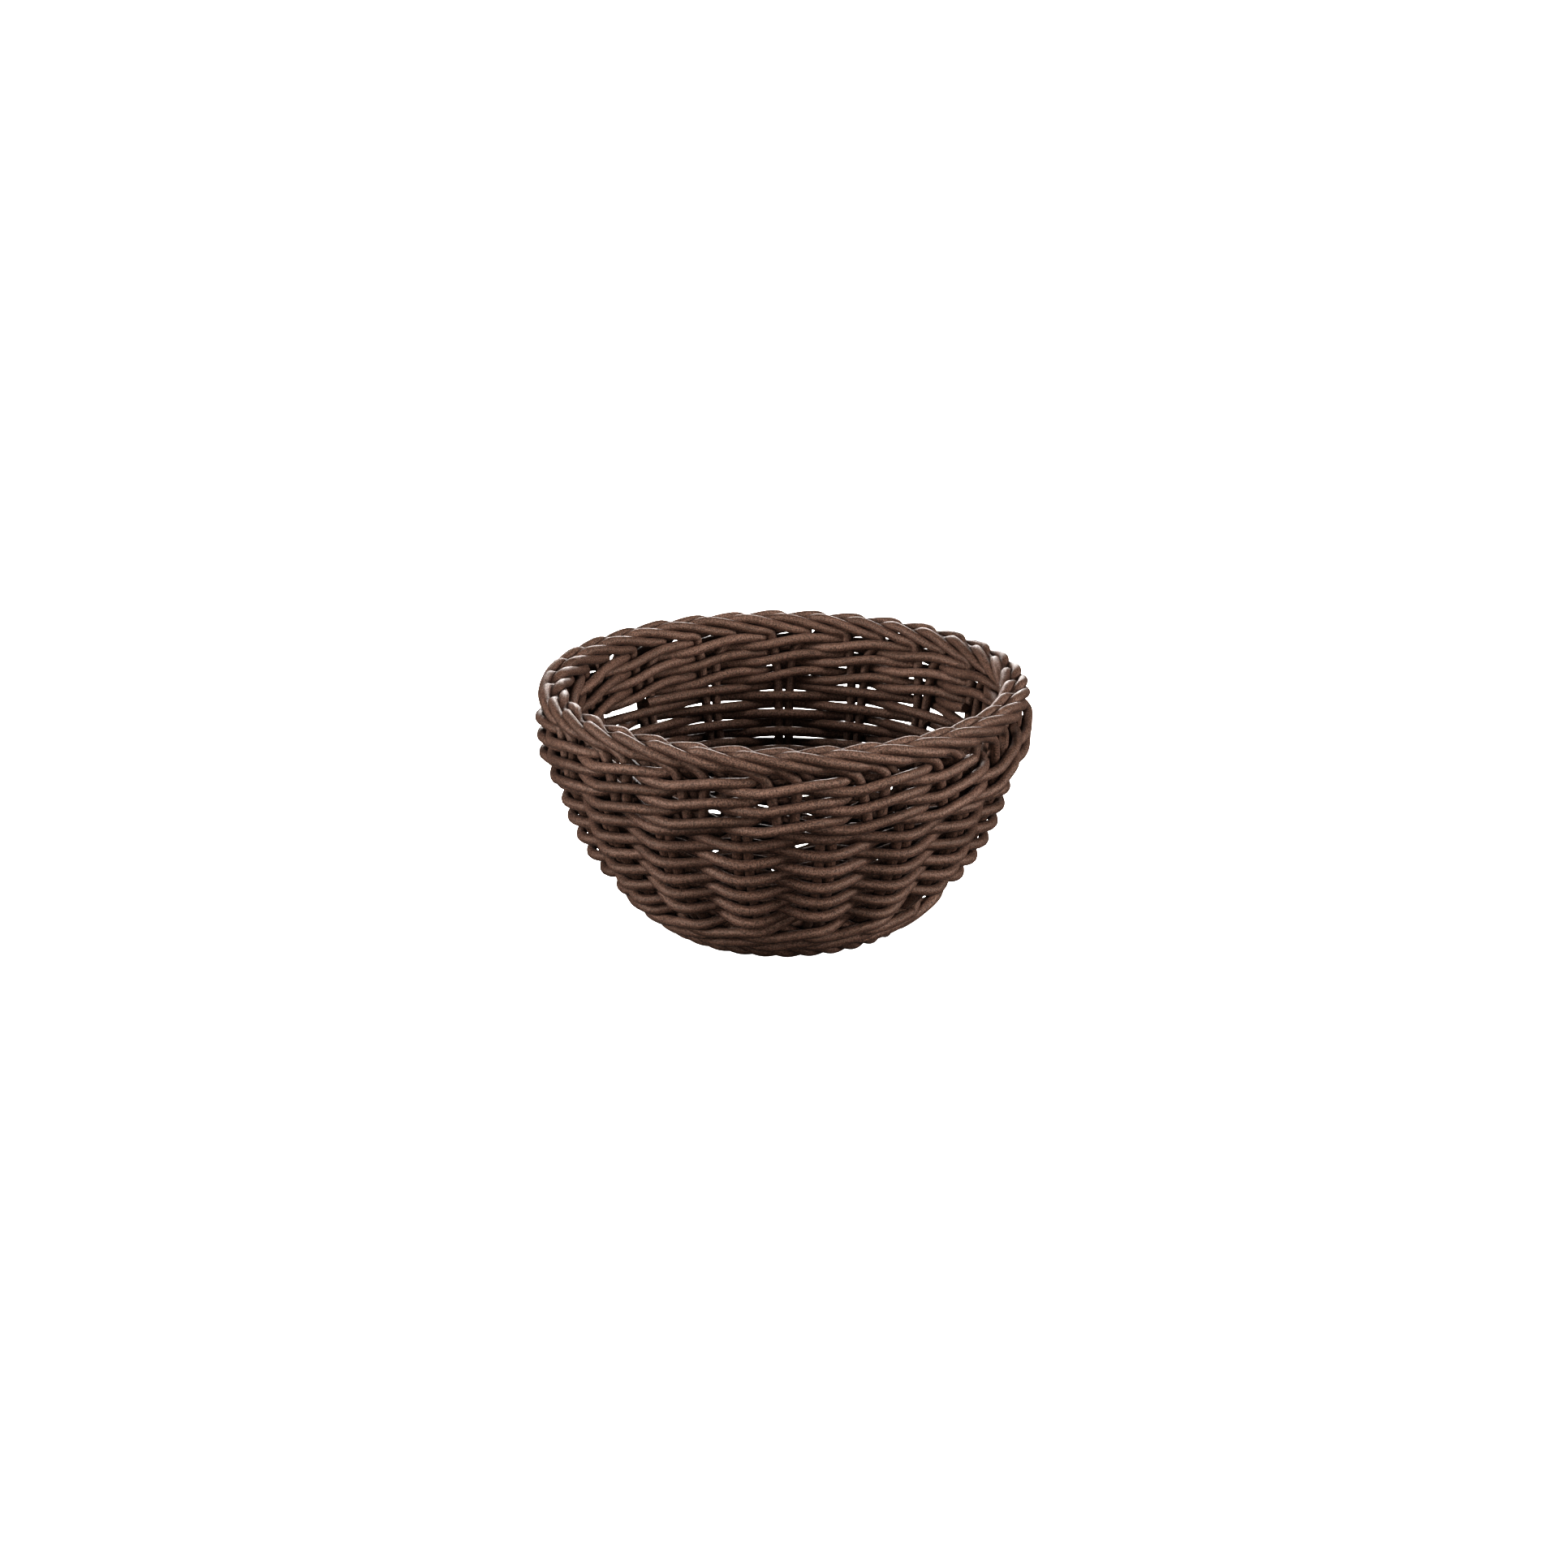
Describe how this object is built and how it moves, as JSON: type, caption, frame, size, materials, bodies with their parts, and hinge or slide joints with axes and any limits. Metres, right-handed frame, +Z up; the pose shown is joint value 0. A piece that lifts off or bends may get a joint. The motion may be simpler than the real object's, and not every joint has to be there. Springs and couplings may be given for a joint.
{
  "type": "woven fruit basket",
  "caption": "Round bowl-shaped table basket woven from round plastic cane, with a rolled rim, a raised band of waling under it and a rolled foot; it holds fruit or bread and stands free.",
  "frame": {"origin": "on the surface it stands on, under the middle of the foot", "axes": "+Z up, out of the mouth; -Y towards the front; +X to the right seen from the front"},
  "size_m": [0.1964, 0.1963, 0.1005],
  "materials": {
    "stake_cane": "fine-grained satin",
    "weaver_cane": "fine-grained satin",
    "wale_cane": "fine-grained satin",
    "base_cane": "fine-grained satin"
  },
  "bodies": {
    "root": {"stake_01": "stake_cane", "stake_02": "stake_cane", "stake_03": "stake_cane", "stake_04": "stake_cane", "stake_05": "stake_cane", "stake_06": "stake_cane", "stake_07": "stake_cane", "stake_08": "stake_cane", "stake_09": "stake_cane", "stake_10": "stake_cane", "stake_11": "stake_cane", "stake_12": "stake_cane", "stake_13": "stake_cane", "stake_14": "stake_cane", "stake_15": "stake_cane", "stake_16": "stake_cane", "stake_17": "stake_cane", "stake_18": "stake_cane", "stake_19": "stake_cane", "stake_20": "stake_cane", "stake_21": "stake_cane", "stake_22": "stake_cane", "stake_23": "stake_cane", "stake_24": "stake_cane", "stake_25": "stake_cane", "stake_26": "stake_cane", "stake_27": "stake_cane", "stake_28": "stake_cane", "stake_29": "stake_cane", "stake_30": "stake_cane", "stake_31": "stake_cane", "stake_32": "stake_cane", "stake_33": "stake_cane", "stake_34": "stake_cane", "wall_weaver": "weaver_cane", "rim_wale_a": "wale_cane", "rim_wale_b": "wale_cane", "rim_wale_c": "wale_cane", "foot_wale_a": "wale_cane", "foot_wale_b": "wale_cane", "foot_wale_c": "wale_cane", "base_stick_01": "base_cane", "base_stick_02": "base_cane", "base_stick_03": "base_cane", "base_stick_04": "base_cane", "base_cross_stick_01": "base_cane", "base_cross_stick_02": "base_cane", "base_cross_stick_03": "base_cane", "base_cross_stick_04": "base_cane", "base_odd_stick": "base_cane", "base_binding": "weaver_cane", "base_weaver": "weaver_cane"}
  },
  "joints": []
}
